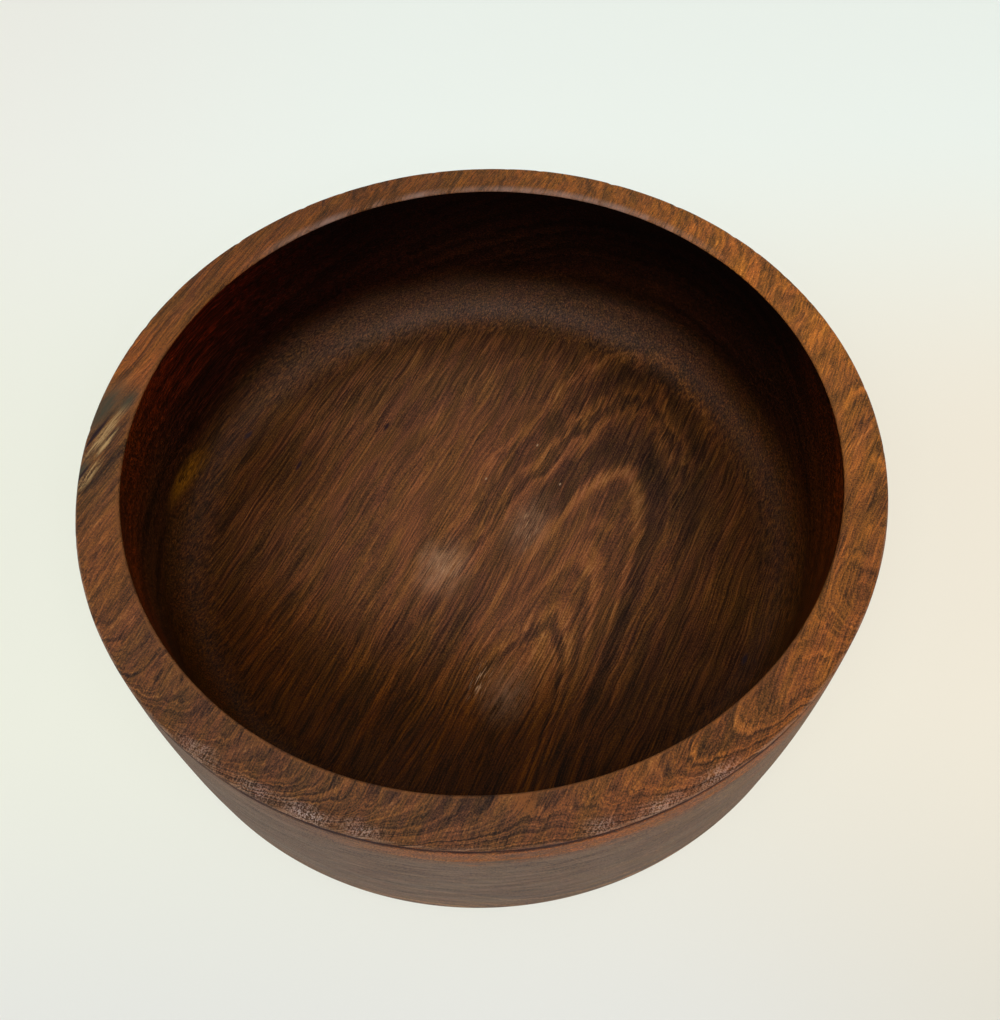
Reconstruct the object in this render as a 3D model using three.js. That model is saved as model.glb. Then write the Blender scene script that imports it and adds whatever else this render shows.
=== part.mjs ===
// Wooden serving bowl, turned from one block of dark hardwood.
// Millimetres, +Z up. The origin is the centre of the face that the bowl stands on.
// The bowl's front is towards -Y.

import * as THREE from 'three';

// Overall sizes of the bowl as it was turned, before it dried oval
const RIM_RADIUS = 127;
const HEIGHT = 74.5;

// Rim: a flat face that falls from its inner edge, the highest point, to its outer arris
const RIM_WIDTH = 14;
const RIM_SLOPE_DEGREES = 7;
const OUTER_ARRIS_ROUNDING = 1.2;
const INNER_EDGE_ROUNDING = 0.9;

// Outer wall: almost upright, a little narrower at the base and a little full halfway up
const BASE_INSET = 1.9;
const WALL_FULLNESS = 1.0;
const BASE_ROUNDING = 1.5;

// Hollow: an almost upright inner wall, a cove, and a floor that dips to its centre
const INNER_WALL_TAPER = 1.5;
const COVE_RADIUS = 17;
const FLOOR_THICKNESS = 13;
const FLOOR_DIP = 1.5;

// Underside: a flat foot ring around a shallow turned recess
const FOOT_WIDTH = 20;
const RECESS_DEPTH = 1.6;
const RECESS_SLOPE_WIDTH = 2.4;

// The wood shrank more across its grain than along it, so a turned circle became this much longer
// along the grain, and as much shorter across it, as a share of the radius.
const DRYING_OVALITY = 0.009;
const GRAIN_DIRECTION_DEGREES = 66;

// How finely the round surfaces are divided
const SEGMENTS_ROUND = 96;
const STEPS_OF_ROUNDING = 3;
const STEPS_OF_COVE = 8;
const STEPS_OF_LONG_CURVE = 4;

const WOOD_COLOUR = 0x5b3521;
const WOOD_ROUGHNESS = 0.48;

// Points of a circular arc in the profile's plane, from one angle to another.
function arcPoints(centreX, centreY, radius, fromAngle, toAngle, steps) {
  const clockwise = toAngle < fromAngle;
  const arc = new THREE.EllipseCurve(centreX, centreY, radius, radius, fromAngle, toAngle, clockwise);
  return arc.getPoints(steps);
}

// Points of a long shallow curve between two points, tangent there to its lines to the third.
function bowPoints(from, tangentPoint, to, steps) {
  return new THREE.QuadraticBezierCurve(from, tangentPoint, to).getPoints(steps);
}

// Underside and foot ring, from the axis out to the start of the base's rounding.
function undersidePoints() {
  const ringInnerRadius = RIM_RADIUS - BASE_INSET - BASE_ROUNDING - FOOT_WIDTH;
  return [
    new THREE.Vector2(0, RECESS_DEPTH),
    new THREE.Vector2(ringInnerRadius - RECESS_SLOPE_WIDTH, RECESS_DEPTH),
    new THREE.Vector2(ringInnerRadius, 0),
  ];
}

// Outer wall, from the foot ring up to the start of the rim's outer arris.
function outerWallPoints(arrisCentreHeight) {
  const baseRadius = RIM_RADIUS - BASE_INSET;
  const rounding = arcPoints(
    baseRadius - BASE_ROUNDING,
    BASE_ROUNDING,
    BASE_ROUNDING,
    -Math.PI / 2,
    0,
    STEPS_OF_ROUNDING,
  );
  const wallFoot = new THREE.Vector2(baseRadius, BASE_ROUNDING);
  const wallHead = new THREE.Vector2(RIM_RADIUS, arrisCentreHeight);
  // Halfway along, the curve has left its chord by half as much as its tangent point has.
  const tangentPoint = wallFoot.clone().lerp(wallHead, 0.5);
  tangentPoint.x += 2 * WALL_FULLNESS;
  const wall = bowPoints(wallFoot, tangentPoint, wallHead, STEPS_OF_LONG_CURVE);
  return [...rounding, ...wall.slice(1)];
}

// Rim, from the outer arris over the sloping face to the inner edge.
function rimPoints(arrisCentreHeight, innerRadius) {
  const faceNormal = Math.PI / 2 - THREE.MathUtils.degToRad(RIM_SLOPE_DEGREES);
  const arris = arcPoints(
    RIM_RADIUS - OUTER_ARRIS_ROUNDING,
    arrisCentreHeight,
    OUTER_ARRIS_ROUNDING,
    0,
    faceNormal,
    STEPS_OF_ROUNDING,
  );
  const innerEdge = arcPoints(
    innerRadius + INNER_EDGE_ROUNDING,
    HEIGHT - INNER_EDGE_ROUNDING,
    INNER_EDGE_ROUNDING,
    faceNormal,
    Math.PI,
    STEPS_OF_ROUNDING,
  );
  return [...arris.slice(1), ...innerEdge];
}

// Hollow, from the foot of the inner wall round the cove and along the floor to the axis.
function hollowPoints(innerRadius) {
  const wallFootRadius = innerRadius - INNER_WALL_TAPER;
  const coveCentreRadius = wallFootRadius - COVE_RADIUS;
  const floorEdgeHeight = FLOOR_THICKNESS + FLOOR_DIP;
  const cove = arcPoints(
    coveCentreRadius,
    floorEdgeHeight + COVE_RADIUS,
    COVE_RADIUS,
    0,
    -Math.PI / 2,
    STEPS_OF_COVE,
  );
  const floor = bowPoints(
    new THREE.Vector2(coveCentreRadius, floorEdgeHeight),
    new THREE.Vector2(coveCentreRadius / 2, FLOOR_THICKNESS),
    new THREE.Vector2(0, FLOOR_THICKNESS),
    STEPS_OF_LONG_CURVE,
  );
  return [...cove, ...floor.slice(1)];
}

// The whole profile, from the axis under the base, up the outside and back to the axis on the floor.
function bowlProfile() {
  const innerRadius = RIM_RADIUS - RIM_WIDTH;
  const slope = THREE.MathUtils.degToRad(RIM_SLOPE_DEGREES);
  const betweenCentres = RIM_WIDTH - OUTER_ARRIS_ROUNDING - INNER_EDGE_ROUNDING;
  // The face touches both roundings, so their centres differ in height by its fall between them,
  // and by the difference of their radii.
  const centresFall =
    betweenCentres * Math.tan(slope) + (OUTER_ARRIS_ROUNDING - INNER_EDGE_ROUNDING) / Math.cos(slope);
  const arrisCentreHeight = HEIGHT - INNER_EDGE_ROUNDING - centresFall;
  return [
    ...undersidePoints(),
    ...outerWallPoints(arrisCentreHeight),
    ...rimPoints(arrisCentreHeight, innerRadius),
    ...hollowPoints(innerRadius),
  ];
}

// Turns the profile about the axis and stands the axis upright along +Z.
function turnedGeometry(profile) {
  const geometry = new THREE.LatheGeometry(profile, SEGMENTS_ROUND);
  geometry.rotateX(Math.PI / 2);
  return geometry;
}

// Stretches a turned geometry along the grain and narrows it across, as drying does.
function dryOval(geometry) {
  const grain = THREE.MathUtils.degToRad(GRAIN_DIRECTION_DEGREES);
  geometry.rotateZ(-grain);
  geometry.scale(1 + DRYING_OVALITY, 1 - DRYING_OVALITY, 1);
  geometry.rotateZ(grain);
  return geometry;
}

function makeBowl() {
  const wood = new THREE.MeshStandardMaterial({
    color: WOOD_COLOUR,
    roughness: WOOD_ROUGHNESS,
    metalness: 0,
  });
  const bowl = new THREE.Mesh(dryOval(turnedGeometry(bowlProfile())), wood);
  bowl.name = 'bowl';
  return bowl;
}

const servingBowl = new THREE.Group();
servingBowl.add(makeBowl());

export default servingBowl;
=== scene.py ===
# A turned wooden serving bowl on a pale table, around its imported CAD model.
# Metres, +Z up, in the CAD model's own frame. The bowl's profile and the wood's figure are worked
# out in millimetres.

import math
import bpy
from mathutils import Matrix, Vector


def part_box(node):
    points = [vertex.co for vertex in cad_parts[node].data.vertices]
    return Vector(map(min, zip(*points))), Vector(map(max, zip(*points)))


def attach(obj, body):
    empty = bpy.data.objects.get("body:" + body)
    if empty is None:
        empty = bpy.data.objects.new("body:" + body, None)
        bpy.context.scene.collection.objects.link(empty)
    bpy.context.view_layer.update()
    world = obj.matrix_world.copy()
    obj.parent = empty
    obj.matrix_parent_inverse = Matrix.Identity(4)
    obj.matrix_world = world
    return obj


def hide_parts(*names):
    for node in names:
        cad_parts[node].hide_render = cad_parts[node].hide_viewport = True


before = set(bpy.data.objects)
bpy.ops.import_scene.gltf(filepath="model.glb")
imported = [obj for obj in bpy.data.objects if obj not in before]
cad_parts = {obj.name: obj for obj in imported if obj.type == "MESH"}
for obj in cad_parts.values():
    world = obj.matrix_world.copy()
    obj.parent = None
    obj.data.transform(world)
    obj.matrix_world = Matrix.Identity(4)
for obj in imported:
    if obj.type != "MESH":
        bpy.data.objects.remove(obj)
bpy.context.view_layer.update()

from types import SimpleNamespace

import bpy
import numpy as np
from mathutils import Matrix, Vector, noise

MM = 0.001

# Camera: where it stands, from the table's surface under the bowl's centre, and how it is turned
CAMERA_PLACE = Vector((0.0052, -0.2040, 0.3542))
CAMERA_PITCH_DOWN = math.radians(57.62)
CAMERA_ROLL = math.radians(-0.96)
FOCAL_LENGTH_PIXELS = 1100
IMAGE_HEIGHT_PIXELS = 1020
SENSOR_WIDTH_MM = 36
CLIP_START = 0.01

# The bowl's turned profile. Its height and radius come from the CAD model's box.
RIM_WIDTH = 14.0
RIM_SLOPE = math.radians(7)
ARRIS_ROUNDING = 1.2
INNER_EDGE_ROUNDING = 0.9
BASE_INSET = 1.9
WALL_FULLNESS = 1.0
BASE_ROUNDING = 1.5
INNER_WALL_TAPER = 1.5
COVE_RADIUS = 17.0
FLOOR_THICKNESS = 13.0
FLOOR_DIP = 1.5
FOOT_WIDTH = 20.0
RECESS_DEPTH = 1.6
RECESS_SLOPE_WIDTH = 2.4
DRYING_OVALITY = 0.009
OVAL_DIRECTION = math.radians(66)

# How far the worn surface stays inside the turned one, so that it keeps inside the CAD model's box
SKIN_ALLOWANCE = 0.12

# Wear: the surface lies this far under the turned one on the whole, and waves a little, in two waves
# given by their length and height. It never comes out past the turned one.
LONG_WAVE = (38, 0.07)
SHORT_WAVE = (11, 0.025)
WEAR_DEPTH = 0.1

# Chips along the rim's outer arris. A higher rarity leaves fewer of them.
CHIP_SIZE = 2.2
CHIP_RARITY = 0.45
CHIP_DEPTH = 0.35

# The groove under the front of the rim's shoulder. It runs out between these places front to back,
# and its depth varies along it.
GROOVE_HEIGHT = 70.5
GROOVE_HALF_WIDTH = 1.3
GROOVE_DEPTH = 0.55
GROOVE_ENDS = -45
GROOVE_FULL = -85
GROOVE_WAVE = 6
GROOVE_MEAN_SHARE = 0.8
GROOVE_SHARE_VARIES = 0.35

# Mesh density: faces round the bowl, and rows of faces along each stretch of its profile
SEGMENTS_ROUND = 512
ROWS = {
    "recess": 8, "recess_slope": 3, "foot": 6, "base_rounding": 4, "outer": 42, "arris": 9,
    "rim": 22, "edge": 7, "wall": 24, "cove": 20, "floor": 40,
}


# Profile of the bowl
def arc_points(centre_x, centre_y, radius, from_angle, to_angle, steps):
    angles = np.linspace(from_angle, to_angle, steps + 1)
    return [(centre_x + radius * math.cos(a), centre_y + radius * math.sin(a)) for a in angles]


def evenly(share):
    return share


def closer_at_start(share):
    return share ** 2


def closer_at_end(share):
    return 1 - (1 - share) ** 2


def bow_points(start, tangent_point, end, steps, spacing=evenly):
    """Points of a long shallow curve, tangent at its ends to their lines to the tangent point."""
    points = []
    for share in np.linspace(0, 1, steps + 1):
        t = spacing(share)
        weights = ((1 - t) ** 2, 2 * t * (1 - t), t ** 2)
        x = sum(w * p[0] for w, p in zip(weights, (start, tangent_point, end)))
        y = sum(w * p[1] for w, p in zip(weights, (start, tangent_point, end)))
        points.append((x, y))
    return points


def line_points(start, end, steps, spacing=evenly):
    middle = ((start[0] + end[0]) / 2, (start[1] + end[1]) / 2)
    return bow_points(start, middle, end, steps, spacing)


def underside_stretches(base_radius):
    """The recess and the foot ring, from the axis out to the foot of the outer wall."""
    ring_outer = base_radius - BASE_ROUNDING
    ring_inner = ring_outer - FOOT_WIDTH
    slope_inner = ring_inner - RECESS_SLOPE_WIDTH
    rounding = arc_points(
        ring_outer, BASE_ROUNDING, BASE_ROUNDING, -math.pi / 2, 0, ROWS["base_rounding"])
    return [
        ("under", line_points((0, RECESS_DEPTH), (slope_inner, RECESS_DEPTH), ROWS["recess"])),
        ("under", line_points((slope_inner, RECESS_DEPTH), (ring_inner, 0), ROWS["recess_slope"])),
        ("foot", line_points((ring_inner, 0), (ring_outer, 0), ROWS["foot"])),
        ("foot", rounding),
    ]


def outer_wall_stretch(base_radius, rim_radius, arris_height):
    """The outer wall, a little full halfway up, with its rows closest under the rim."""
    foot = (base_radius, BASE_ROUNDING)
    head = (rim_radius, arris_height)
    middle = ((foot[0] + head[0]) / 2 + 2 * WALL_FULLNESS, (foot[1] + head[1]) / 2)
    return ("outer", bow_points(foot, middle, head, ROWS["outer"], closer_at_end))


def rim_stretches(rim_radius, height, arris_height):
    """The outer arris, the sloping face and the inner edge."""
    face_normal = math.pi / 2 - RIM_SLOPE
    arris = arc_points(
        rim_radius - ARRIS_ROUNDING, arris_height, ARRIS_ROUNDING, 0, face_normal, ROWS["arris"])
    edge_x = rim_radius - RIM_WIDTH + INNER_EDGE_ROUNDING
    edge_y = height - INNER_EDGE_ROUNDING
    edge = arc_points(edge_x, edge_y, INNER_EDGE_ROUNDING, face_normal, math.pi, ROWS["edge"])
    face = line_points(arris[-1], edge[0], ROWS["rim"])
    return [("arris", arris), ("rim", face), ("edge", edge)]


def hollow_stretches(wall_head, inner_radius):
    """The inner wall, the cove and the floor, in to the axis."""
    cove_centre = inner_radius - INNER_WALL_TAPER - COVE_RADIUS
    floor_edge = FLOOR_THICKNESS + FLOOR_DIP
    cove = arc_points(
        cove_centre, floor_edge + COVE_RADIUS, COVE_RADIUS, 0, -math.pi / 2, ROWS["cove"])
    wall = line_points(wall_head, cove[0], ROWS["wall"], closer_at_start)
    tangent_point = (cove_centre / 2, FLOOR_THICKNESS)
    floor = bow_points((cove_centre, floor_edge), tangent_point, (0, FLOOR_THICKNESS), ROWS["floor"])
    return [("wall", wall), ("cove", cove), ("floor", floor)]


def bowl_profile(rim_radius, height):
    """The profile from the axis under the base to the axis on the floor, and each point's region."""
    base_radius = rim_radius - BASE_INSET
    between_centres = RIM_WIDTH - ARRIS_ROUNDING - INNER_EDGE_ROUNDING
    fall = between_centres * math.tan(RIM_SLOPE)
    fall += (ARRIS_ROUNDING - INNER_EDGE_ROUNDING) / math.cos(RIM_SLOPE)
    arris_height = height - INNER_EDGE_ROUNDING - fall

    stretches = underside_stretches(base_radius)
    stretches.append(outer_wall_stretch(base_radius, rim_radius, arris_height))
    stretches += rim_stretches(rim_radius, height, arris_height)
    wall_head = stretches[-1][1][-1]
    stretches += hollow_stretches(wall_head, rim_radius - RIM_WIDTH)

    points = []
    regions = []
    for region, stretch in stretches:
        start = 1 if points else 0
        points += stretch[start:]
        regions += [region] * (len(stretch) - start)
    return np.array(points), np.array(regions)


def smooth_step(values, low, high):
    """0 at low, 1 at high, and smooth between."""
    share = np.clip((values - low) / (high - low), 0, 1)
    return share * share * (3 - 2 * share)


def oval_reach(direction):
    """How far the dried oval reaches along a direction, for a turned radius of 1."""
    turn = direction - OVAL_DIRECTION
    return math.hypot((1 + DRYING_OVALITY) * math.cos(turn), (1 - DRYING_OVALITY) * math.sin(turn))


def turned_sizes():
    """The turned rim radius and the height, in millimetres, that fill the CAD model's box."""
    low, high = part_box("bowl")
    size = (high - low) / MM
    widest = min(size.x / 2 / oval_reach(0), size.y / 2 / oval_reach(math.pi / 2))
    trial, _ = bowl_profile(widest, size.z)
    bulge = trial[:, 0].max() - widest
    return widest - bulge - SKIN_ALLOWANCE, size.z - SKIN_ALLOWANCE


def dried(x, y):
    """Stretches points along the grain and narrows them across it, as drying does."""
    c, s = math.cos(OVAL_DIRECTION), math.sin(OVAL_DIRECTION)
    along = (x * c + y * s) * (1 + DRYING_OVALITY)
    across = (y * c - x * s) * (1 - DRYING_OVALITY)
    return along * c - across * s, along * s + across * c


def soft_noise(points, wavelength, seed):
    """Smooth noise of about -1 to 1 at each point."""
    offset = Vector((seed * 7.3, seed * 3.1, seed * 5.7))
    return np.array([noise.noise(Vector(p) / wavelength + offset) for p in points]) * 2


def outward_normals(profile):
    """Unit normals of the profile, pointing out of the wood."""
    step = np.gradient(profile, axis=0)
    normal = np.stack([step[:, 1], -step[:, 0]], axis=1)
    return normal / np.maximum(np.linalg.norm(normal, axis=1), 1e-9)[:, None]


def wear_depths(x, y, z, region):
    """How deep the worn surface lies under the turned one. The foot ring's rows stay as turned."""
    points = np.stack([x.ravel(), y.ravel(), z.ravel()], axis=1)
    long_waves = soft_noise(points, LONG_WAVE[0], 1) * LONG_WAVE[1]
    short_waves = soft_noise(points, SHORT_WAVE[0], 2) * SHORT_WAVE[1]
    waves = (long_waves + short_waves).reshape(z.shape)
    chips = np.clip(soft_noise(points, CHIP_SIZE, 3) - CHIP_RARITY, 0, 1).reshape(z.shape)
    depth = WEAR_DEPTH - np.minimum(waves, WEAR_DEPTH) + (region == "arris") * chips * CHIP_DEPTH

    uneven = soft_noise(points, GROOVE_WAVE, 4).reshape(z.shape)
    uneven = uneven * GROOVE_SHARE_VARIES + GROOVE_MEAN_SHARE
    near_groove = 1 - np.abs(z - GROOVE_HEIGHT) / GROOVE_HALF_WIDTH
    groove = smooth_step(near_groove, 0, 1) * smooth_step(y, GROOVE_ENDS, GROOVE_FULL) * uneven
    depth = depth + (region == "outer") * groove * GROOVE_DEPTH
    return np.where(region == "foot", 0, depth)


def lathe_faces(row_count):
    """Faces between the rows, and fans to the centres under the base and on the floor."""
    under_centre = row_count * SEGMENTS_ROUND
    floor_centre = under_centre + 1
    last_row = (row_count - 1) * SEGMENTS_ROUND
    faces = []
    for this_row in range(0, last_row, SEGMENTS_ROUND):
        next_row = this_row + SEGMENTS_ROUND
        for i in range(SEGMENTS_ROUND):
            j = (i + 1) % SEGMENTS_ROUND
            faces.append((this_row + i, this_row + j, next_row + j, next_row + i))
    for i in range(SEGMENTS_ROUND):
        j = (i + 1) % SEGMENTS_ROUND
        faces.append((under_centre, j, i))
        faces.append((floor_centre, last_row + i, last_row + j))
    return faces


def build_bowl():
    rim_radius, height = turned_sizes()
    profile, regions = bowl_profile(rim_radius, height)
    # Rows of the lathe, without the two points on the axis
    rows = slice(1, len(profile) - 1)
    radii = profile[rows, 0][:, None]
    normals = outward_normals(profile)[rows]
    region = regions[rows]

    angles = np.arange(SEGMENTS_ROUND) * 2 * math.pi / SEGMENTS_ROUND
    heights = np.repeat(profile[rows, 1][:, None], SEGMENTS_ROUND, axis=1)
    depths = wear_depths(radii * np.cos(angles), radii * np.sin(angles), heights, region[:, None])
    worn_radii = radii - depths * normals[:, 0][:, None]
    worn_heights = heights - depths * normals[:, 1][:, None]
    x, y = dried(worn_radii * np.cos(angles), worn_radii * np.sin(angles))

    vertices = np.stack([x.ravel(), y.ravel(), worn_heights.ravel()], axis=1) * MM
    centres = [(0, 0, profile[0, 1] * MM), (0, 0, (profile[-1, 1] - WEAR_DEPTH) * MM)]
    mesh = bpy.data.meshes.new("wooden_bowl")
    mesh.from_pydata([tuple(v) for v in vertices] + centres, [], lathe_faces(len(radii)))
    mesh.update()
    mesh.shade_smooth()
    store_regions(mesh, region, radii[:, 0], rim_radius)
    bowl = bpy.data.objects.new("wooden_bowl", mesh)
    bpy.context.scene.collection.objects.link(bowl)
    return bowl


def store_regions(mesh, region, radii, rim_radius):
    """Stores for the material which points are on the rim or outside, and how far out on the rim."""
    on_rim = np.isin(region, ["edge", "rim", "arris"])
    outside = np.isin(region, ["outer", "foot", "under"])
    outward = np.clip((radii - rim_radius) / RIM_WIDTH + 1, 0, 1)
    for name, per_row in (("rim", on_rim), ("outside", outside), ("outward", outward * on_rim)):
        values = np.repeat(per_row.astype(np.float32), SEGMENTS_ROUND)
        at_centres = [per_row[0], per_row[-1]]
        values = np.append(values, at_centres).astype(np.float32)
        mesh.attributes.new(name, "FLOAT", "POINT").data.foreach_set("value", values)


class Value:
    """A number or colour that a material's nodes work out, written in formulas like a plain number."""

    def __init__(self, graph, socket):
        self.graph = graph
        self.socket = socket

    def __add__(self, other):
        return self.graph.math("ADD", self, other)

    def __sub__(self, other):
        return self.graph.math("SUBTRACT", self, other)

    def __rsub__(self, other):
        return self.graph.math("SUBTRACT", other, self)

    def __mul__(self, other):
        return self.graph.math("MULTIPLY", self, other)

    def __truediv__(self, other):
        return self.graph.math("DIVIDE", self, other)

    __radd__ = __add__
    __rmul__ = __mul__


class Graph:
    """Short names for making the nodes of one material."""

    def __init__(self, material):
        material.use_nodes = True
        self.tree = material.node_tree
        self.tree.nodes.clear()

    def node(self, kind, **settings):
        made = self.tree.nodes.new(kind)
        for name, value in settings.items():
            setattr(made, name, value)
        return made

    def feed(self, socket, value):
        if isinstance(value, Value):
            self.tree.links.new(value.socket, socket)
        else:
            socket.default_value = value

    def math(self, operation, a, b=0.0):
        made = self.node("ShaderNodeMath", operation=operation)
        self.feed(made.inputs[0], a)
        self.feed(made.inputs[1], b)
        return Value(self, made.outputs[0])

    def root(self, a):
        return self.math("SQRT", a)

    def size(self, a):
        return self.math("ABSOLUTE", a)

    def least(self, a, b):
        return self.math("MINIMUM", a, b)

    def most(self, a, b):
        return self.math("MAXIMUM", a, b)

    def above(self, a, b):
        """1 where a is over b, and 0 elsewhere."""
        return self.math("GREATER_THAN", a, b)

    def level(self, share, at_none, at_full):
        """A number that goes evenly from one to another as a share goes from 0 to 1."""
        return share * (at_full - at_none) + at_none

    def length(self, a, b):
        return self.root(a * a + b * b)

    def split(self, socket):
        made = self.node("ShaderNodeSeparateXYZ")
        self.tree.links.new(socket, made.inputs[0])
        return [Value(self, output) for output in made.outputs]

    def noise(self, x, y, z, detail=1.0, roughness=0.5):
        """Noise of about -1 to 1, with waves about 1 long."""
        place = self.node("ShaderNodeCombineXYZ")
        for socket, value in zip(place.inputs, (x, y, z)):
            self.feed(socket, value)
        made = self.node("ShaderNodeTexNoise", noise_dimensions="3D", normalize=False)
        self.tree.links.new(place.outputs[0], made.inputs["Vector"])
        made.inputs["Scale"].default_value = 1.0
        made.inputs["Detail"].default_value = detail
        made.inputs["Roughness"].default_value = roughness
        return Value(self, made.outputs["Fac"])

    def step(self, value, low, high):
        """0 below low, 1 above high, and smooth between. low may be the larger."""
        made = self.node("ShaderNodeMapRange", interpolation_type="SMOOTHSTEP", clamp=True)
        self.feed(made.inputs["Value"], value)
        made.inputs["From Min"].default_value = min(low, high)
        made.inputs["From Max"].default_value = max(low, high)
        made.inputs["To Min"].default_value = 0.0 if low < high else 1.0
        made.inputs["To Max"].default_value = 1.0 if low < high else 0.0
        return Value(self, made.outputs["Result"])

    def ramp(self, value, stops):
        """Levels or colours at places along a value, with straight lines between."""
        low, high = stops[0][0], stops[-1][0]
        made = self.node("ShaderNodeValToRGB")
        self.feed(made.inputs[0], (value - low) / (high - low))
        elements = made.color_ramp.elements
        while len(elements) < len(stops):
            elements.new(0.5)
        for element, (place, shade) in zip(elements, stops):
            element.position = (place - low) / (high - low)
            element.color = (*shade, 1) if isinstance(shade, tuple) else (shade, shade, shade, 1)
        return Value(self, made.outputs["Color"])

    def mix(self, share, a, b, blend="MIX"):
        """A colour between two by a share, or the first with a share of the second blended in."""
        made = self.node("ShaderNodeMix", data_type="RGBA", blend_type=blend, clamp_factor=True)
        for index, value in ((0, share), (6, a), (7, b)):
            self.feed(made.inputs[index], (*value, 1) if isinstance(value, tuple) else value)
        return Value(self, made.outputs[2])

    def tint(self, share, colour, factors):
        """A colour multiplied by a factor for red, green and blue, by a share."""
        return self.mix(share, colour, factors, "MULTIPLY")

    def product(self, colour, factors):
        return self.tint(1.0, colour, factors)

    def attribute(self, name):
        made = self.node("ShaderNodeAttribute", attribute_type="GEOMETRY", attribute_name=name)
        return Value(self, made.outputs["Fac"])

    def spot(self, a, b, place, reach, edge=0.0):
        """1 at a place and 0 outside an ellipse round it. edge is how much of it stays at 1."""
        across = (a - place[0]) / reach[0]
        along = (b - place[1]) / reach[1]
        return self.step(self.length(across, along), 1.0, edge)

    def spots(self, a, b, places, edge=0.0):
        """The sum of some spots, each given as a place, a reach along a and b, and maybe a strength."""
        total = 0.0
        for place, reach, *strength in places:
            reach = reach if isinstance(reach, tuple) else (reach, reach)
            total = self.spot(a, b, place, reach, edge) * (strength[0] if strength else 1.0) + total
        return total


# The wood's figure. The grain runs level, in this direction of the plan. A place in the wood is
# given by u along the grain, v across it to the left and w up, from this place in the plan and this
# height. Colours are linear red, green and blue, and factors multiply them.
GRAIN_DIRECTION = math.radians(63.5)
FIGURE_CENTRE = (57, 26)
FIGURE_HEIGHT = 14.0

# How far the fibres wave to the side, slowly and quickly
SLOW_WAVE_HEIGHT = 2.4
QUICK_WAVE_HEIGHT = 0.7

# The nested arches: how blunt the middle one is, and how much blunter each outer one gets, on its
# left and right, for each millimetre along the grain
ARCH_BLUNTNESS = 7.0
BLUNTER_LEFT = 0.40
BLUNTER_RIGHT = 0.15

# How far the arches' axis lies left of the figure's centre, and how much further left it lies at the
# tops of the outer arches
ARCH_AXIS = 4.0
AXIS_SHIFT = 6.0

# How far right and left of the axis the arches' legs start to straighten, over how many
# millimetres, and how much of their bend they lose
LEGS_START = (10, 14)
LEGS_STRAIGHTEN_OVER = (30, 46)
LEGS_STRAIGHTENED = 0.8

# Growth layers crossed along the arches: the shade of the wood from the innermost arch outwards
ARCH_SHADES = [
    (-112, 0.44), (-100, 0.50), (-90, 0.60), (-83, 0.86), (-77, 0.76), (-73, 0.32), (-69, 0.42),
    (-66, 0.85), (-62, 0.72), (-57, 0.46), (-48, 0.42), (-43, 0.76), (-37, 0.62), (-32, 0.42),
    (-26, 0.56), (-14, 0.44), (-8, 0.48), (-4, 0.76), (0, 0.72), (4, 0.30), (17, 0.26),
    (23, 0.50), (27, 0.74), (32, 0.28), (36, 0.32), (39, 0.70), (45, 0.32), (51, 0.30),
    (57, 0.50), (61, 0.74), (67, 0.44), (76, 0.48),
]
PLAIN_SHADE = 0.48
LEAST_ARCH_CONTRAST = 0.15

# How much of the arches' contrast is lost low on the left and far to the right
FADED_LEFT = 0.5
FADED_RIGHT = 0.6

# How much of the arches' field the outside keeps
ARCHES_OUTSIDE = 0.3

# The rim cuts growth layers far above the floor's. Its arches lie further right and their legs run
# along the grain, but its layers bend round towards its outer shoulder, where the surface falls away.
RIM_AXIS = -28.0
RIM_BLUNTNESS = 9.0
RIM_LAYERS_ACROSS = 1.7
SHOULDER_FALL = 46.0
SHOULDER_FALL_BEHIND = 0.15

# How many layers a millimetre of height crosses low and high in the hollow, and on the outside
LAYERS_LOW = 2.2
LAYERS_HIGH = 3.7
WALL_START = 17.0

# How many layers the ends of the fibres reach into the next ones: in tufts, more raggedly in the
# outer arches, and as single fingers, which are shorter on the rim
RAGGED_LAYERS = 4.0
OUTER_ARCHES_RAGGED = 1.5
FINGER_LAYERS = 3.4
RIM_FINGER_LAYERS = 1.4

# Burrs on the rim that the layers swirl round: plan place, size, and layers pushed aside
BURRS = [((106, -54), 15, 15), ((97, -72), 14, -12), ((-91, -75), 10, -10)]
BURR_UNEVENNESS = 5

# How strongly each kind of detail shows in the wood's tone, in general and on the rim
DETAIL_WEIGHTS = {
    "broad": (0.06, 0.14),
    "lines": (0.09, 0.27),
    "threads": (0.19, 0.13),
    "fibre": (0.28, 0.24),
    "speckle": (0.30, 0.30),
    "pores": (-0.17, -0.17),
}
MORE_LINES_AT_RIMS_FRONT = 0.14
TONE_LIFT = 0.01

# Colours of the wood from its darkest lines to its brightest
WOOD_COLOURS = [
    (0.00, (0.014, 0.007, 0.005)),
    (0.22, (0.037, 0.016, 0.0085)),
    (0.38, (0.066, 0.026, 0.0110)),
    (0.50, (0.095, 0.037, 0.0150)),
    (0.70, (0.162, 0.056, 0.0170)),
    (0.85, (0.210, 0.073, 0.0215)),
    (1.00, (0.290, 0.112, 0.0360)),
]
LEANING_TO_OLIVE = (0.98, 1.02, 0.90)
LEANING_TO_PURPLE = (1.03, 0.95, 1.10)


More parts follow.
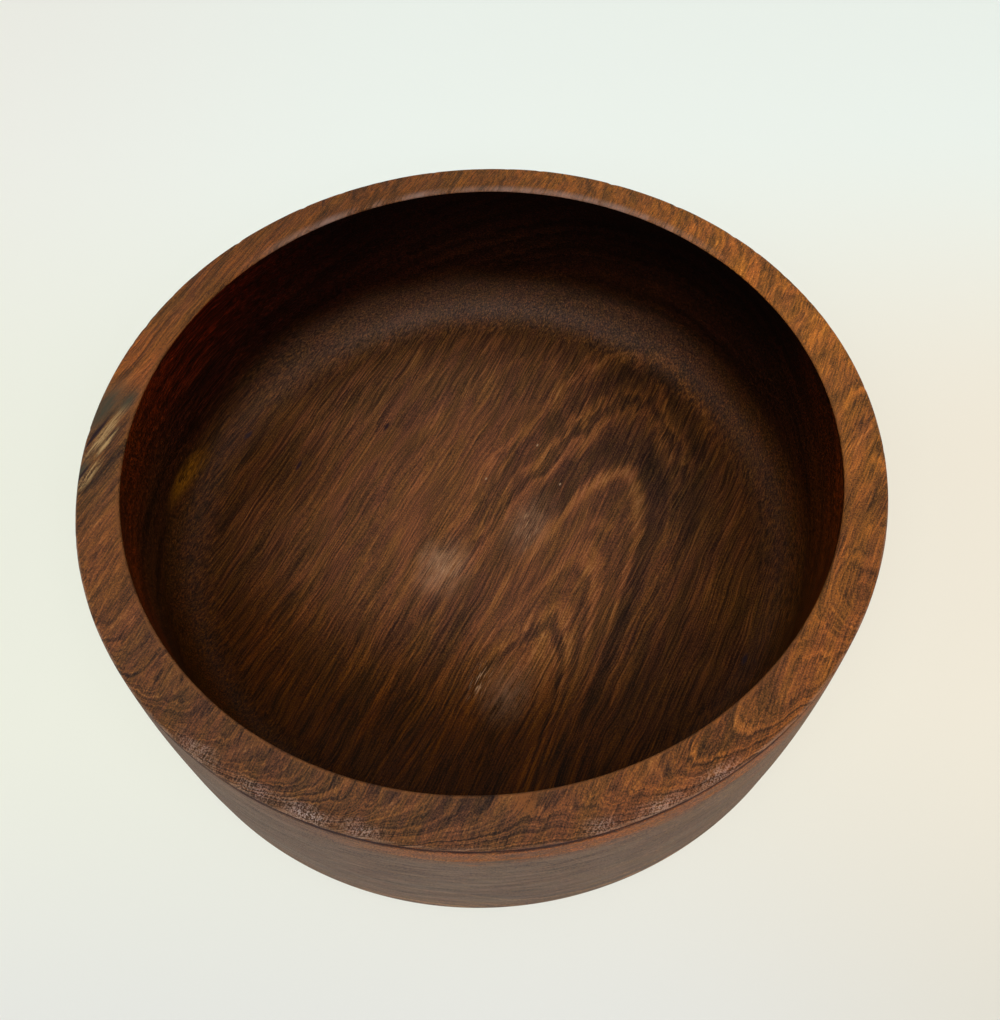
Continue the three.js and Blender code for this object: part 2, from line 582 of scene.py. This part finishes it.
def arch_field(g, u, v):
    """How many millimetres along the grain a point lies outside the middle arch."""
    axis = g.step(u, -5, 40) * g.step(g.size(v), 50, 15) * AXIS_SHIFT + ARCH_AXIS
    side = v - axis
    left = g.above(side, 0)
    across = g.size(side)
    # Far from the axis the arches' legs run along the grain
    past_start = (across - g.level(left, *LEGS_START)) / g.level(left, *LEGS_STRAIGHTEN_OVER)
    along = u * (1 - g.step(past_start, 0, 1) * LEGS_STRAIGHTENED)
    blunter = g.level(left, BLUNTER_RIGHT, BLUNTER_LEFT)
    inside = along + across * across / ARCH_BLUNTNESS
    base = blunter * along + ARCH_BLUNTNESS
    reach = g.root(base * base + across * across * blunter * 4)
    outside = (blunter * along - ARCH_BLUNTNESS + reach) / (blunter * 2)
    return g.least(inside, 0) + g.most(outside, 0)


def wood_place(g):
    """Where a point of the wood lies: in plan, along the grain, and on the bowl."""
    p = SimpleNamespace()
    p.x, p.y, p.z = (part / MM for part in g.split(g.node("ShaderNodeTexCoord").outputs["Object"]))
    p.rim, p.outward, p.outside = (g.attribute(name) for name in ("rim", "outward", "outside"))
    p.in_front = g.step(p.y, -55, -105)
    c, s = math.cos(GRAIN_DIRECTION), math.sin(GRAIN_DIRECTION)
    dx, dy = p.x - FIGURE_CENTRE[0], p.y - FIGURE_CENTRE[1]
    p.u = dx * c + dy * s
    p.w = p.z - FIGURE_HEIGHT
    p.straight_v = dy * c - dx * s
    # The waves are worked out at the straight place, and then v follows the waving fibres
    p.v = p.straight_v
    p.slow_wave = grain_noise(g, p, along=75, across=40)
    quick_wave = grain_noise(g, p, along=17, across=8)
    p.v = p.straight_v + p.slow_wave * SLOW_WAVE_HEIGHT + quick_wave * QUICK_WAVE_HEIGHT
    return p


def grain_noise(g, p, along, across, detail=1.0, roughness=0.5):
    """Noise with waves of one length along the grain and another across it, in millimetres."""
    return g.noise(p.u / along, p.v / across, p.w / across, detail, roughness)


def growth_layer(g, p):
    """Which growth layer a point lies in: the arches on the floor, and level layers on the walls."""
    arches = arch_field(g, p.u, p.v) * g.level(p.outside, 1, ARCHES_OUTSIDE) * (1 - p.rim)
    in_hollow = p.w * LAYERS_LOW + g.most(p.w - WALL_START, 0) * (LAYERS_HIGH - LAYERS_LOW)
    tufts = grain_noise(g, p, along=30, across=5)
    in_outer_arches = g.step(arches, 8, 35) * (1 - p.rim)
    ragged = grain_noise(g, p, along=10, across=2.4) * in_outer_arches * OUTER_ARCHES_RAGGED + tufts
    fingers = grain_noise(g, p, along=16, across=0.85)

    on_rim = g.length(p.v - RIM_AXIS, RIM_BLUNTNESS) * RIM_LAYERS_ACROSS
    fall = p.outward * p.outward * p.outward * SHOULDER_FALL
    on_rim = on_rim - fall * g.level(p.in_front, SHOULDER_FALL_BEHIND, 1)
    x, y = p.x + tufts * BURR_UNEVENNESS, p.y - tufts * BURR_UNEVENNESS
    for place, reach, push in BURRS:
        on_rim = g.spot(x, y, place, (reach, reach)) * push + on_rim

    neither = (1 - p.rim) * (1 - p.outside)
    layer = arches + in_hollow * neither + p.outside * p.w * LAYERS_HIGH + p.rim * on_rim
    return layer + ragged * RAGGED_LAYERS + fingers * g.level(p.rim, FINGER_LAYERS, RIM_FINGER_LAYERS)


def figure(g, p, layer):
    """The wood's fine detail, and its tone, from 0 for its darkest lines to 1 for its brightest."""
    d = SimpleNamespace()
    # Lines and broad bands follow the growth layers, as they lie some layers apart
    d.lines = g.noise(p.u / 34, layer / g.level(p.rim, 2.2, 3.3), p.w / 60, 2.5, 0.62)
    d.broad = g.noise(p.u / 55, layer / 14, p.w / 60)
    d.fibre = grain_noise(g, p, along=24, across=0.55, roughness=0.6)
    near_thread = 1 - g.size(grain_noise(g, p, along=34, across=1.20, detail=0.5)) * 6
    d.threads = g.most(near_thread, 0)
    d.speckle = g.noise(p.x / 0.42, p.y / 0.42, p.z / 0.42)
    d.pores = g.step(grain_noise(g, p, along=2.4, across=0.33, detail=0.0), 0.28, 0.58)

    faded = g.step(p.u, -10, -70) * g.step(p.v, -5, 25) * FADED_LEFT
    faded = faded + g.step(p.v, -2, -22) * g.step(layer, 12, 24) * FADED_RIGHT
    contrast = g.most(d.broad * 0.5 + 1 - faded, LEAST_ARCH_CONTRAST) * (1 - p.rim)
    d.tone = (g.ramp(layer, ARCH_SHADES) - PLAIN_SHADE) * contrast + PLAIN_SHADE + TONE_LIFT
    for name, (weight, rim_weight) in DETAIL_WEIGHTS.items():
        d.tone = d.tone + getattr(d, name) * g.level(p.rim, weight, rim_weight)
    d.tone = d.tone + d.lines * p.rim * p.in_front * MORE_LINES_AT_RIMS_FRONT
    return d


# Single fibres darker and brighter than the wood round them, as factors, and how strongly they show
# on the floor towards the walls and on the walls
DARK_FIBRES = (0.50, 0.48, 0.48)
BRIGHT_FIBRES = (1.45, 1.48, 1.45)
FLOOR_FIBRES = 0.5
WALL_FIBRES = 0.9


def rough_fibres(g, d, colour, share):
    """Darkens and brightens single fibres."""
    factors = g.mix(g.step(d.fibre + d.speckle * 0.35, -0.65, 0.65), DARK_FIBRES, BRIGHT_FIBRES)
    return g.mix(share, colour, g.product(colour, factors))


# Painted light and shade on the floor: it is painted brightest at this place and darkest at the walls,
# as painted shade from the walls, with a painted shadow of the front wall at its front and a painted
# sheen at its back.
BEST_LIT_PLACE = (-2, 14)
BEST_LIT_PLACE_FLATNESS = 1.1
FLOOR_MOST_LIT = (1.25, 1.34, 1.46)
FLOOR_MOST_SHADED = (0.42, 0.38, 0.26)
FLOOR_FRONT_SHADE = (0.77, 0.61, 0.10)
FLOOR_BACK_SHEEN = (1.20, 1.35, 1.65)

# Places of the floor painted darker or brighter, as painted shade and light towards the walls and as
# the wood's own tone in its middle, as plan place, half size and factors
FLOOR_SHADE_AND_TONE = [
    ((70, 20), (34, 36), (0.64, 0.72, 0.82)),
    ((-76, 27), (34, 28), (0.76, 0.74, 0.66)),
    ((-80, -36), (32, 30), (1.13, 1.02, 0.72)),
    ((88, -30), (24, 24), (1.40, 1.45, 1.20)),
    ((18, -42), (30, 24), (1.22, 1.28, 1.32)),
]

# Pale greyish patches and scratched patches, as u and v, half size along and across the grain, and
# strength
PALE_PATCHES = [
    ((-66, 48), (17, 13), 0.75), ((-63, 56), (9, 5), 0.3), ((-36, 28), (20, 12), 0.40),
    ((-98, 7), (17, 12), 0.30),
]
SCRATCHED_PATCHES = [
    ((-40, 25.5), (9, 2.5), 1.0), ((-36, 30), (10, 3.0), 0.8), ((-65, 48), (12, 9), 0.6),
    ((-99, 17), (11, 5), 0.7),
]
PALE_PATCH_COLOUR = (0.37, 0.198, 0.112)
SCRATCH_COLOUR = (0.50, 0.29, 0.16)

# Pale specks and dark dashes, as u and v, with their half sizes along and across the grain
PALE_SPECKS = [(-25, 51), (-3, 40), (-15.5, 25), (-59.6, -71)]
SPECK_SIZE = (0.8, 0.45)
SPECK_COLOUR = (0.34, 0.22, 0.13)
DARK_DASHES = [(-47.7, 140.5), (-50.4, 116.8), (-54.9, -60.3), (-20, 96)]
DASH_SIZE = (3.2, 1.1)
DASH_COLOUR = (0.020, 0.010, 0.012)


def floor_wood(g, p, d, colour):
    """The floor: painted brightest left of its middle and darker towards the walls as painted shade,
    with a painted shadow at its front, a painted sheen at its back, pale patches and scratches.
    """
    # Painted light and shade: brightest at one place, darker towards the walls, which shade the floor
    x, y = p.x - BEST_LIT_PLACE[0], p.y - BEST_LIT_PLACE[1]
    from_best_lit = g.length(x, y * BEST_LIT_PLACE_FLATNESS)
    painted_light_and_shade = g.mix(g.step(from_best_lit, 30, 100), FLOOR_MOST_LIT, FLOOR_MOST_SHADED)
    colour = g.product(colour, painted_light_and_shade)
    # Painted shadow of the front wall over the floor's front, and painted sheen over its back
    colour = g.tint(g.step(p.y + p.x * 0.3, -30, -85), colour, FLOOR_FRONT_SHADE)
    colour = g.tint(g.step(p.y - p.x * 0.2, 45, 90), colour, FLOOR_BACK_SHEEN)
    # Painted shade and light towards the walls, and the wood's own tone in the middle
    for place, reach, factors in FLOOR_SHADE_AND_TONE:
        colour = g.tint(g.spot(p.x, p.y, place, reach), colour, factors)
    colour = rough_fibres(g, d, colour, g.step(from_best_lit, 35, 90) * FLOOR_FIBRES)

    patchy = g.noise(p.u / 6, p.v / 2.5, 0.0, 2.0) * 0.6 + d.fibre * 0.6 + d.speckle * 0.4
    pale_patches = g.spots(p.u, p.straight_v, PALE_PATCHES) * g.step(patchy, -1.0, 0.9)
    colour = g.mix(pale_patches, colour, PALE_PATCH_COLOUR)
    marks = g.step(g.noise(p.u / 5, p.v / 0.40, 0.0), 0.15, 0.55)
    scratched = g.spots(p.u, p.straight_v, SCRATCHED_PATCHES) * marks
    colour = g.mix(scratched, colour, SCRATCH_COLOUR)
    specks = g.spots(p.u, p.straight_v, [(place, SPECK_SIZE) for place in PALE_SPECKS], 0.4)
    colour = g.mix(specks, colour, SPECK_COLOUR)
    dashes = g.spots(p.u, p.v, [(place, DASH_SIZE) for place in DARK_DASHES], 0.3)
    return g.mix(dashes, colour, DASH_COLOUR)


# Painted shade on the inner wall, darkest at the back: factors of it at its left, right and back, low
# and high on it, with changes to them towards the left's back, the back's left, high on the back's
# right, and the front
WALL_LEFT = ((0.19, 0.150, 0.11), (0.48, 0.19, 0.028))
WALL_RIGHT = ((0.31, 0.185, 0.038), (0.49, 0.215, 0.010))
WALL_BACK_SHADE = ((0.086, 0.066, 0.070), (0.028, 0.016, 0.022))
WALL_LEFT_TO_BACK = (0.80, 0.45, 0.60)
WALL_BACK_TO_LEFT = (0.85, 0.58, 0.72)
WALL_BACK_TO_RIGHT = (0.52, 0.55, 0.65)
WALL_TO_FRONT = (1.45, 1.55, 1.35)

# Factors of the dark and the bright arcs along the walls
DARK_ARCS = (0.50, 0.56, 0.62)
BRIGHT_ARCS = (1.6, 1.5, 1.4)


def wall_wood(g, p, d, colour):
    """The inner wall: painted dark red at the sides and nearly black at the back, as painted shade."""
    high = g.step(p.z, 44, 68)
    left = g.tint(g.step(p.y, 0, 50), g.mix(high, *WALL_LEFT), WALL_LEFT_TO_BACK)
    right = g.mix(high, *WALL_RIGHT)
    back = g.tint(g.step(p.x, 10, 65) * high, g.mix(high, *WALL_BACK_SHADE), WALL_BACK_TO_RIGHT)
    back = g.tint(g.step(p.x, 10, -60), back, WALL_BACK_TO_LEFT)
    # Painted shade over the wall, darkest at the back
    factors = g.mix(g.step(p.y + p.x * 0.3, 0, 85), g.mix(g.step(p.x, -60, 60), left, right), back)
    factors = g.tint(g.step(p.y, 15, -50), factors, WALL_TO_FRONT)
    colour = g.product(colour, factors)
    arcs = g.mix(g.step(d.lines + d.broad * 0.7, -0.7, 0.8), DARK_ARCS, BRIGHT_ARCS)
    return rough_fibres(g, d, g.product(colour, arcs), WALL_FIBRES)


# Factors of the rim at the left and right of its front and of its back, which make it paler at the back
# and right, partly as its own drier wood and partly as painted light, with changes to them at the very
# back and at the left, and where the wood is dull
RIM_FRONT = ((0.91, 1.00, 1.04), (1.74, 1.58, 1.02))
RIM_BACK_PALE_AND_LIT = ((1.62, 1.47, 1.03), (2.75, 2.55, 1.48))
RIM_FAR_BACK = (0.88, 0.90, 0.90)
RIM_FAR_LEFT = (1.22, 1.16, 1.12)
DULL_WOOD = (0.66, 0.72, 0.95)

# Places of the rim that are darker or brighter, as plan place, half size and factors
RIM_SHADES = [
    ((-118, -4), (23, 46), (0.58, 0.76, 1.02)),
    ((-104, 60), (26, 34), (0.78, 0.87, 1.0)),
]

# Streaks and splits across the left of the rim, as u and v, and half size along and across the grain
TAN_STREAKS = [((-97, 149.0), (15, 2.4)), ((-113, 144), (9, 2.2)), ((-100, 146.2), (8, 1.2))]
OLIVE_STREAKS = [((-90, 156), (20, 7.5)), ((-113, 147.5), (9, 3.0)), ((-84, 149.5), (9, 4.0))]
SPLITS = [((-99, 151.8), (13, 0.9)), ((-114, 146.2), (8, 0.6))]
TAN_COLOUR = (0.42, 0.27, 0.12)
OLIVE_COLOUR = (0.056, 0.049, 0.032)

# A tongue of bright orange wood on the front of the rim
TONGUE_PLACE = (11, -115.5)
TONGUE_REACH = (5.0, 4.6)
TONGUE_COLOUR = (0.19, 0.066, 0.018)

# Pale scuffs on the rim's outer shoulder, worn wood with a painted highlight on it, as plan place, size
# and strength
SCUFFS_AND_HIGHLIGHTS = [
    ((-74, -98), 12, 0.4), ((-58, -107), 11, 0.5), ((-45, -114), 10, 1.0), ((-31, -119), 9, 0.5),
    ((30, -122), 7, 0.3), ((46, -118), 11, 0.35), ((62, -110), 11, 0.35), ((118, -22), 3, 0.8),
]
SCUFF_AND_HIGHLIGHT_COLOUR = (0.44, 0.36, 0.34)
ARRIS_COLOUR = (0.34, 0.20, 0.13)
EDGE_COLOUR = (0.20, 0.074, 0.024)
BACK_EDGE_HIGHLIGHT_COLOUR = (0.30, 0.20, 0.17)


def rim_wood(g, p, d, colour):
    """The rim: paler at the back and right, partly drier wood and partly painted light, with streaks at
    the left and worn edges.
    """
    front = g.mix(g.step(p.x, -10, 90), *RIM_FRONT)
    back = g.mix(g.step(p.x, -60, 110), *RIM_BACK_PALE_AND_LIT)
    # Partly painted light: the rim paler at its back and right
    factors = g.mix(g.step(p.y, -75, 40), front, back)
    factors = g.tint(g.step(p.y, 70, 110), factors, RIM_FAR_BACK)
    factors = g.tint(g.step(p.x, -80, -115), factors, RIM_FAR_LEFT)
    for place, reach, shade in RIM_SHADES:
        factors = g.tint(g.spot(p.x, p.y, place, reach), factors, shade)
    dull = g.step(d.broad + p.slow_wave * 0.6, 0.0, 0.5) * 0.6
    factors = g.mix(dull, factors, g.product(factors, DULL_WOOD))
    colour = g.product(colour, factors)
    colour = rim_streaks(g, p, d, colour)
    return worn_edges(g, p, d, colour)


def rim_streaks(g, p, d, colour):
    """Olive and tan streaks and dark splits at the left, and the orange tongue at the front."""
    olive = g.spots(p.u, p.straight_v, OLIVE_STREAKS) * (d.fibre * 0.4 + d.lines * 0.3 + 0.9)
    colour = g.mix(olive, colour, OLIVE_COLOUR)
    splits = g.spots(p.u, p.straight_v + d.fibre * 0.4, SPLITS, 0.3)
    colour = g.mix(splits, colour, DASH_COLOUR)
    threads = g.step(d.fibre + d.speckle * 0.4, -0.55, 0.45)
    colour = g.mix(g.spots(p.u, p.straight_v, TAN_STREAKS, 0.2) * threads, colour, TAN_COLOUR)
    ragged_x, ragged_y = p.x + d.broad * 2, p.y + d.lines * 3 + d.speckle
    tongue = g.spot(ragged_x, ragged_y, TONGUE_PLACE, TONGUE_REACH, 0.3)
    return g.mix(tongue * (d.speckle * 0.4 + d.fibre * 0.4 + 0.7), colour, TONGUE_COLOUR)


def worn_edges(g, p, d, colour):
    """Pale scuffs on the rim's shoulder, worn and with a painted highlight, the wear of its two edges,
    and a painted highlight along the inner edge at the back.
    """
    crumbs = g.step(d.speckle + d.fibre * 0.5 + d.lines * 0.3, -0.35, 0.60)
    shoulder = g.step(p.outward + d.broad * 0.1, 0.66, 0.90)
    # Pale scuffs, partly worn wood and partly a painted highlight
    colour = g.mix(g.spots(p.x, p.y, SCUFFS_AND_HIGHLIGHTS) * shoulder * crumbs, colour, SCUFF_AND_HIGHLIGHT_COLOUR)
    # The outer arris is worn to a paler line, and the inner edge to bare orange wood at the front
    # and sides
    arris = g.step(p.outward + d.speckle * 0.02, 0.935, 0.985)
    arris = arris * g.step(d.broad + d.lines * 0.5, -0.5, 0.6)
    colour = g.mix(arris * 0.5, colour, ARRIS_COLOUR)
    edge = g.step(p.outward, 0.10, 0.05) * g.step(p.y, 70, 20)
    edge = edge * g.step(d.broad + d.lines * 0.5, -0.8, 0.4)
    colour = g.mix(edge * 0.5, colour, EDGE_COLOUR)
    # A pale line along the inner edge at the back is a painted highlight, where the rounded edge
    # catches the light
    edge = g.step(p.outward, 0.26, 0.05) * g.step(p.y, 70, 100)
    edge = edge * g.step(d.broad + d.lines * 0.6, -0.9, 0.6)
    return g.mix(edge * 0.6, colour, BACK_EDGE_HIGHLIGHT_COLOUR)


# The outside: grey, partly weathered wood and partly a painted sheen of the pale table, from its
# darkest to its palest, warmer in some blotches, and brown where it is less grey
GREY_WOOD_AND_SHEEN = ((0.075, 0.050, 0.040), (0.205, 0.146, 0.114))
WARM_BLOTCHES = (1.04, 0.95, 0.93)
BROWN_FACTORS = (1.8, 2.5, 3.4)

# The groove under the rim's front shoulder is painted dark, partly as dark wood along it and partly as
# painted shade in it, with a strip of fresh orange wood below it, whose lower edge fades between these
# heights
GROOVE_DARK_AND_SHADE_COLOUR = (0.020, 0.008, 0.010)
FRESH_STRIP = (59.0, 65.0)
FRESH_FACTORS = (2.60, 2.15, 1.20)


def outer_wood(g, p, d, colour):
    """The outside: grey, partly weathered and partly a painted sheen, browner towards its right and
    foot.
    """
    turned = g.noise(p.x / 15, p.y / 15, p.z / 1.1, 3.0, 0.65)
    blotches = g.noise(p.x / 20, p.y / 20, p.z / 9)
    shade = turned * 0.70 + blotches * 0.25 + d.lines * 0.30 + d.speckle * 0.40 + 0.5
    # Grey, partly weathered wood and partly a painted sheen
    grey = g.mix(shade, *GREY_WOOD_AND_SHEEN)
    cool = g.step(blotches - turned * 0.4, -0.5, 0.5)
    grey = g.mix(cool, g.product(grey, WARM_BLOTCHES), grey)
    brown = g.product(colour, BROWN_FACTORS)
    fresh = g.product(colour, FRESH_FACTORS)
    share = g.step(p.x + d.broad * 40, 0, 110) * 0.40 + g.step(p.z, 20, 0) * 0.25 + 0.25
    colour = g.mix(share, grey, brown)

    strip = g.step(p.z + turned * 4, *FRESH_STRIP) * g.step(p.y, -55, -80)
    strip = strip * g.level(g.step(p.x, -55, 0), 0.1, 0.95)
    streaky = g.least(turned * 0.7 + d.lines * 0.3 + 0.85, 1)
    colour = g.mix(strip * streaky, colour, fresh)
    # The groove painted dark, partly dark wood and partly painted shade
    off_groove = g.size(p.z - GROOVE_HEIGHT + turned * 0.5)
    groove = g.step(off_groove, GROOVE_HALF_WIDTH + 0.2, GROOVE_HALF_WIDTH - 0.8)
    groove = groove * g.step(p.y + turned * 20, -50, -85) * 0.92
    return g.mix(groove, colour, GROOVE_DARK_AND_SHADE_COLOUR)


# A golden streak low on the left wall. Its place and half size are front to back and upwards, and it
# falls towards the back, by this much for each millimetre.
GOLDEN_PLACE = (20, 27)
GOLDEN_REACH = (20, 6)
GOLDEN_FALL = 0.24
GOLDEN_COLOUR = (0.240, 0.086, 0.003)

# A painted sheen greys the cove at the back
PAINTED_SHEEN_COLOUR = (0.0078, 0.0076, 0.0080)

# Gloss of the wood, and how much rougher the rim and the outside are
WOOD_ROUGHNESS = 0.38
RIM_ROUGHER = 0.14
OUTSIDE_ROUGHER = 0.20
WOOD_IOR = 1.5
SPECULAR_LEVEL = 0.09
BUMP_STRENGTH = 0.6
BUMP_DEPTH = 0.12


def hollow_wood(g, p, d, colour):
    """The floor and the wall, with the golden streak and a painted sheen over the cove at the back."""
    wall_share = g.step(p.z + p.slow_wave * 3, 17, 40)
    hollow = g.mix(wall_share, floor_wood(g, p, d, colour), wall_wood(g, p, d, colour))
    level_z = p.z + (p.y - GOLDEN_PLACE[0]) * GOLDEN_FALL
    golden = g.spot(p.y, level_z, GOLDEN_PLACE, GOLDEN_REACH) * g.step(p.x, 0, -60)
    golden = golden * (d.lines * 0.5 + d.fibre * 0.4 + 0.55)
    hollow = g.mix(golden, hollow, GOLDEN_COLOUR)
    # Painted sheen in the cove at the back
    up = p.z + d.lines * 2 + p.slow_wave * 4
    sheen = g.step(p.y, 48, 96) * g.step(up, 15, 20) * g.step(up, 35, 25)
    sheen = sheen * (d.fibre * 0.3 + d.lines * 0.4 + 0.8)
    return g.mix(sheen, hollow, PAINTED_SHEEN_COLOUR, "ADD")


def wood_material():
    material = bpy.data.materials.new("oiled_hardwood")
    g = Graph(material)
    p = wood_place(g)
    d = figure(g, p, growth_layer(g, p))
    colour = g.ramp(d.tone, WOOD_COLOURS)
    lean = g.step(grain_noise(g, p, along=22, across=5, detail=2.0) + d.speckle * 0.5, -0.7, 0.7)
    colour = g.mix(lean, g.product(colour, LEANING_TO_PURPLE), g.product(colour, LEANING_TO_OLIVE))
    finished = g.mix(p.rim, hollow_wood(g, p, d, colour), rim_wood(g, p, d, colour))
    finished = g.mix(p.outside, finished, outer_wood(g, p, d, colour))

    shader = g.node("ShaderNodeBsdfPrincipled")
    g.feed(shader.inputs["Base Color"], finished)
    roughness = d.lines * 0.05 + p.rim * RIM_ROUGHER + p.outside * OUTSIDE_ROUGHER + WOOD_ROUGHNESS
    g.feed(shader.inputs["Roughness"], roughness)
    shader.inputs["IOR"].default_value = WOOD_IOR
    shader.inputs["Specular IOR Level"].default_value = SPECULAR_LEVEL

    bump = g.node("ShaderNodeBump")
    bump.inputs["Strength"].default_value = BUMP_STRENGTH
    bump.inputs["Distance"].default_value = BUMP_DEPTH * MM
    relief = d.lines * 0.4 + d.fibre * 0.6 + d.speckle * 0.12 - d.pores * 0.5
    g.feed(bump.inputs["Height"], relief * (p.rim + p.outside + 1))
    g.tree.links.new(bump.outputs[0], shader.inputs["Normal"])
    output = g.node("ShaderNodeOutputMaterial")
    g.tree.links.new(shader.outputs[0], output.inputs["Surface"])
    return material


# The table and the backdrop round it
TABLE_SIZE = 6.0
BACKDROP_RADIUS = 2.9
BACKDROP_HEIGHT = 2.0
BACKDROP_SIDES = 64

# Colours of the table at the left and right of its middle, its back and its front, and between
# which places across it each pair changes
TABLE_MIDDLE = ((0.87, 0.89, 0.785), (0.91, 0.84, 0.71))
TABLE_BACK = ((0.895, 0.90, 0.84), (0.89, 0.95, 0.895))
TABLE_FRONT = ((0.765, 0.775, 0.755), (0.74, 0.715, 0.630))
MIDDLE_CHANGES = (-0.10, 0.25)
BACK_CHANGES = (-0.28, -0.02)
FRONT_CHANGES = (0.03, 0.20)

# Between which places front to back the middle changes to the back and to the front
MIDDLE_TO_BACK = (0.03, 0.25)
MIDDLE_TO_FRONT = (-0.05, -0.20)

# The share of its own light in how the camera sees the table, which keeps the bowl's shadow soft
TABLE_GLOW = 0.70


def pale_material():
    material = bpy.data.materials.new("pale_table")
    g = Graph(material)
    x, y, _ = g.split(g.node("ShaderNodeNewGeometry").outputs["Position"])
    colour = g.mix(g.step(x, *MIDDLE_CHANGES), *TABLE_MIDDLE)
    back = g.mix(g.step(x, *BACK_CHANGES), *TABLE_BACK)
    front = g.mix(g.step(x, *FRONT_CHANGES), *TABLE_FRONT)
    colour = g.mix(g.step(y, *MIDDLE_TO_BACK), colour, back)
    colour = g.mix(g.step(y, *MIDDLE_TO_FRONT), colour, front)
    diffuse = g.node("ShaderNodeBsdfDiffuse")
    g.feed(diffuse.inputs["Color"], colour)
    glow = g.node("ShaderNodeEmission")
    g.feed(glow.inputs["Color"], colour)
    path = g.node("ShaderNodeLightPath")
    seen = Value(g, path.outputs["Is Camera Ray"])
    for kind in ("Is Glossy Ray", "Is Transmission Ray"):
        seen = g.most(seen, Value(g, path.outputs[kind]))
    both = g.node("ShaderNodeMixShader")
    g.feed(both.inputs[0], seen * TABLE_GLOW)
    g.tree.links.new(diffuse.outputs[0], both.inputs[1])
    g.tree.links.new(glow.outputs[0], both.inputs[2])
    output = g.node("ShaderNodeOutputMaterial")
    g.tree.links.new(both.outputs[0], output.inputs["Surface"])
    return material


def stage_piece(name, vertices, faces, material):
    mesh = bpy.data.meshes.new(name)
    mesh.from_pydata(vertices, [], faces)
    mesh.materials.append(material)
    piece = bpy.data.objects.new(name, mesh)
    bpy.context.scene.collection.objects.link(piece)


def build_stage():
    material = pale_material()
    half = TABLE_SIZE / 2
    corners = [(-half, -half, 0), (half, -half, 0), (half, half, 0), (-half, half, 0)]
    stage_piece("table_top", corners, [(0, 1, 2, 3)], material)
    ring = []
    for i in range(BACKDROP_SIDES):
        turn = 2 * math.pi * i / BACKDROP_SIDES
        for height in (0, BACKDROP_HEIGHT):
            ring.append((BACKDROP_RADIUS * math.cos(turn), BACKDROP_RADIUS * math.sin(turn), height))
    count = len(ring)
    faces = [(i, (i + 2) % count, (i + 3) % count, i + 1) for i in range(0, count, 2)]
    stage_piece("backdrop", ring, faces, material)


# Lights: a dim room, a large soft box above the front, and two weaker ones at the sides. Each is
# given by its direction in plan, its angle from straight up, its width and height, and its power.
ROOM_COLOUR = (0.97, 1.0, 0.98, 1)
ROOM_STRENGTH = 0.12
LAMP_DISTANCE = 1.2
LAMP_COLOUR = (1.0, 0.985, 0.95)
LAMPS = {
    "front_soft_box": (-90, 30, (1.0, 0.95), 12.0),
    "left_soft_box": (180, 50, (0.9, 0.9), 2.9),
    "right_soft_box": (0, 50, (0.9, 0.9), 2.9),
}


def build_lights():
    world = bpy.data.worlds.new("dim_room")
    bpy.context.scene.world = world
    world.use_nodes = True
    background = world.node_tree.nodes["Background"]
    background.inputs["Color"].default_value = ROOM_COLOUR
    background.inputs["Strength"].default_value = ROOM_STRENGTH
    for name, (azimuth, from_zenith, size, power) in LAMPS.items():
        lamp = bpy.data.lights.new(name, "AREA")
        lamp.shape = "RECTANGLE"
        lamp.size, lamp.size_y = size
        lamp.energy = power
        lamp.color = LAMP_COLOUR
        turn, tilt = math.radians(azimuth), math.radians(from_zenith)
        outward = math.sin(tilt)
        direction = Vector((outward * math.cos(turn), outward * math.sin(turn), math.cos(tilt)))
        holder = bpy.data.objects.new(name, lamp)
        holder.location = direction * LAMP_DISTANCE
        holder.rotation_euler = direction.to_track_quat("Z", "Y").to_euler()
        holder.visible_camera = False
        bpy.context.scene.collection.objects.link(holder)


def build_camera():
    camera = bpy.data.cameras.new("camera")
    camera.sensor_width = SENSOR_WIDTH_MM
    camera.lens = FOCAL_LENGTH_PIXELS * SENSOR_WIDTH_MM / IMAGE_HEIGHT_PIXELS
    camera.clip_start = CLIP_START
    holder = bpy.data.objects.new("camera", camera)
    tilt = Matrix.Rotation(math.pi / 2 - CAMERA_PITCH_DOWN, 4, "X")
    roll = Matrix.Rotation(CAMERA_ROLL, 4, "Z")
    holder.matrix_world = Matrix.Translation(CAMERA_PLACE) @ tilt @ roll
    bpy.context.scene.collection.objects.link(holder)
    bpy.context.scene.camera = holder


build_camera()
build_lights()
build_stage()
wooden_bowl = build_bowl()
wooden_bowl.data.materials.append(wood_material())
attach(wooden_bowl, "root")
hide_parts("bowl")

bpy.context.scene.view_settings.view_transform = "Standard"
